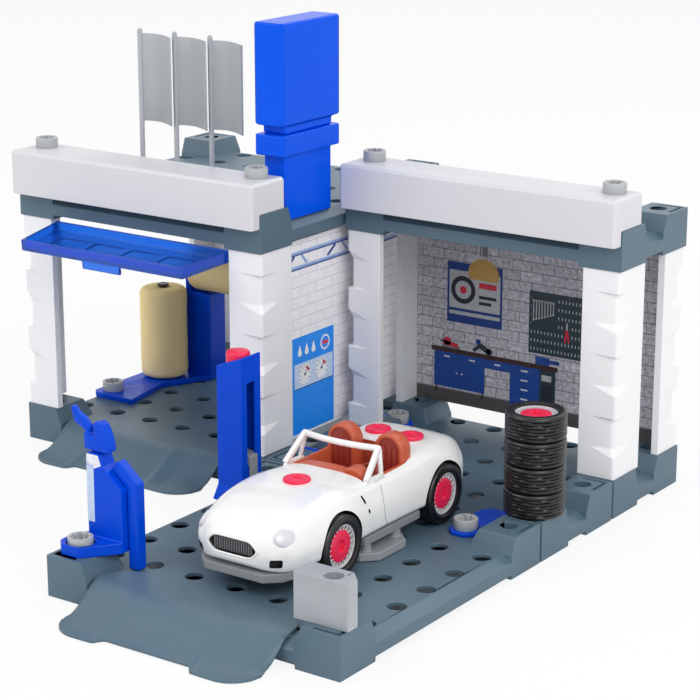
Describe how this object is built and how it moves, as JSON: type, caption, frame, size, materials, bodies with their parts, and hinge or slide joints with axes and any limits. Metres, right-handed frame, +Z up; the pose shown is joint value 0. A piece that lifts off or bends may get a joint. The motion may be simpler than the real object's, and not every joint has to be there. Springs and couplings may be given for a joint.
{
  "type": "toy service station",
  "caption": "Toy service station on drilled plug-in plates: wash bay with foam rollers and flap door, workshop bay, car on a lift, fuel pump, ramps, spare tyres, flags and sign tower.",
  "frame": {"origin": "middle of the footprint's bounding box, on the floor under the ground plates", "axes": "+X to the right along the bays' open fronts, +Y from the ramps to the back, +Z up"},
  "size_m": [0.4936, 0.532, 0.3559],
  "materials": {
    "plate_grey": "satin, fine grain",
    "pillar_white": "satin",
    "tower_blue": "gloss",
    "printed_panel": "printed, smooth",
    "screw_grey": "satin",
    "clip_blue": "gloss",
    "door_blue": "clear gloss",
    "roller_foam": "fine open foam",
    "pin_black": "satin",
    "screw_red": "gloss",
    "grille_black": "satin",
    "axle_steel": "drawn",
    "flag_silver": "silver, satin",
    "tyre_black": "moulded",
    "rim_silver": "silver, gloss",
    "car_white": "gloss",
    "interior_orange": "satin"
  },
  "bodies": {
    "station": {"front_deck_plate": "plate_grey", "wash_deck_plate": "plate_grey", "wash_roof_plate": "plate_grey", "middle_deck_plate": "plate_grey", "workshop_deck_plate": "plate_grey", "workshop_roof_plate": "plate_grey", "wash_front_left_pillar": "pillar_white", "wash_front_right_pillar": "pillar_white", "wash_rear_right_pillar": "pillar_white", "wash_rear_left_pillar": "pillar_white", "workshop_front_left_pillar": "pillar_white", "workshop_front_right_pillar": "pillar_white", "workshop_rear_right_pillar": "pillar_white", "workshop_rear_left_pillar": "pillar_white", "wash_fascia": "pillar_white", "workshop_fascia": "pillar_white", "workshop_back_panel": "printed_panel", "wash_side_panel": "printed_panel", "fastening_screws": "screw_grey", "joining_clips": "clip_blue", "gantry_frame": "clip_blue", "roller_pins": "pin_black", "front_ramp": "plate_grey", "wash_ramp": "plate_grey", "pump_body": "clip_blue", "pump_hose": "clip_blue", "lift_column": "clip_blue", "corner_stop_block": "screw_grey", "tower_stem": "tower_blue", "tower_sign": "tower_blue", "right_flag": "flag_silver", "centre_flag": "flag_silver", "left_flag": "flag_silver"},
    "bay_door": {"wash_bay_door": "door_blue"},
    "upright_roller": {"upright_foam_roller": "roller_foam"},
    "overhead_roller": {"overhead_foam_roller": "roller_foam"},
    "lift_carriage": {"lift_carriage": "screw_grey"},
    "lift_drive": {"lift_spindle": "axle_steel", "lift_knob": "screw_red"},
    "car": {"car_body": "car_white", "car_front_inserts": "grille_black", "car_interior": "interior_orange", "steering_wheel": "interior_orange", "car_chassis": "screw_grey", "body_screw_caps": "screw_red"},
    "front_wheels": {"front_axle": "axle_steel", "front_tyres": "tyre_black", "front_rims": "rim_silver", "front_hub_screws": "screw_red"},
    "rear_wheels": {"rear_axle": "axle_steel", "rear_tyres": "tyre_black", "rear_rims": "rim_silver", "rear_hub_screws": "screw_red"},
    "nozzle": {"pump_nozzle": "clip_blue"},
    "spare_1": {"spare_tyre_1": "tyre_black"},
    "spare_2": {"spare_tyre_2": "tyre_black"},
    "spare_3": {"spare_tyre_3": "tyre_black"},
    "spare_4": {"spare_tyre_4": "tyre_black", "spare_rim": "rim_silver", "spare_hub_screw": "screw_red"}
  },
  "joints": [
    {"name": "door_hinge", "type": "hinge", "parent": "station", "child": "bay_door", "pos_m": [-0.1255, 0.027, 0.1815], "axis": [1, 0, 0], "range_deg": [0, 84]},
    {"name": "upright_roller_spin", "type": "hinge", "parent": "station", "child": "upright_roller", "pos_m": [-0.223, 0.1695, 0.062], "axis": [0, 0, 1], "continuous": true},
    {"name": "overhead_roller_spin", "type": "hinge", "parent": "station", "child": "overhead_roller", "pos_m": [-0.1505, 0.2005, 0.1135], "axis": [1, 0, 0], "continuous": true},
    {"name": "lift_raise", "type": "slide", "parent": "station", "child": "lift_carriage", "axis": [0, 0, 1], "range_m": [0, 0.05]},
    {"name": "lift_turn", "type": "hinge", "parent": "station", "child": "lift_drive", "pos_m": [0.0145, -0.0305, 0.1], "axis": [0, 0, 1], "range_deg": [-1810, 0]},
    {"name": "car_lift_off", "type": "slide", "parent": "lift_carriage", "child": "car", "axis": [0, 0, 1], "range_m": [0, 0.06]},
    {"name": "front_wheels_roll", "type": "hinge", "parent": "car", "child": "front_wheels", "pos_m": [0.125, -0.117, 0.0402], "axis": [1, 0, 0], "continuous": true},
    {"name": "rear_wheels_roll", "type": "hinge", "parent": "car", "child": "rear_wheels", "pos_m": [0.125, 0.01, 0.0402], "axis": [1, 0, 0], "continuous": true},
    {"name": "nozzle_lift", "type": "slide", "parent": "station", "child": "nozzle", "axis": [0, 0, 1], "range_m": [0, 0.04]},
    {"name": "spare_1_lift", "type": "slide", "parent": "station", "child": "spare_1", "axis": [0, 0, 1], "range_m": [0, 0.03]},
    {"name": "spare_2_lift", "type": "slide", "parent": "spare_1", "child": "spare_2", "axis": [0, 0, 1], "range_m": [0, 0.03]},
    {"name": "spare_3_lift", "type": "slide", "parent": "spare_2", "child": "spare_3", "axis": [0, 0, 1], "range_m": [0, 0.03]},
    {"name": "spare_4_lift", "type": "slide", "parent": "spare_3", "child": "spare_4", "axis": [0, 0, 1], "range_m": [0, 0.03]}
  ],
  "couplings": [
    {"joint": "lift_turn", "follows": "lift_raise", "rad_per_m": -628.32}
  ]
}
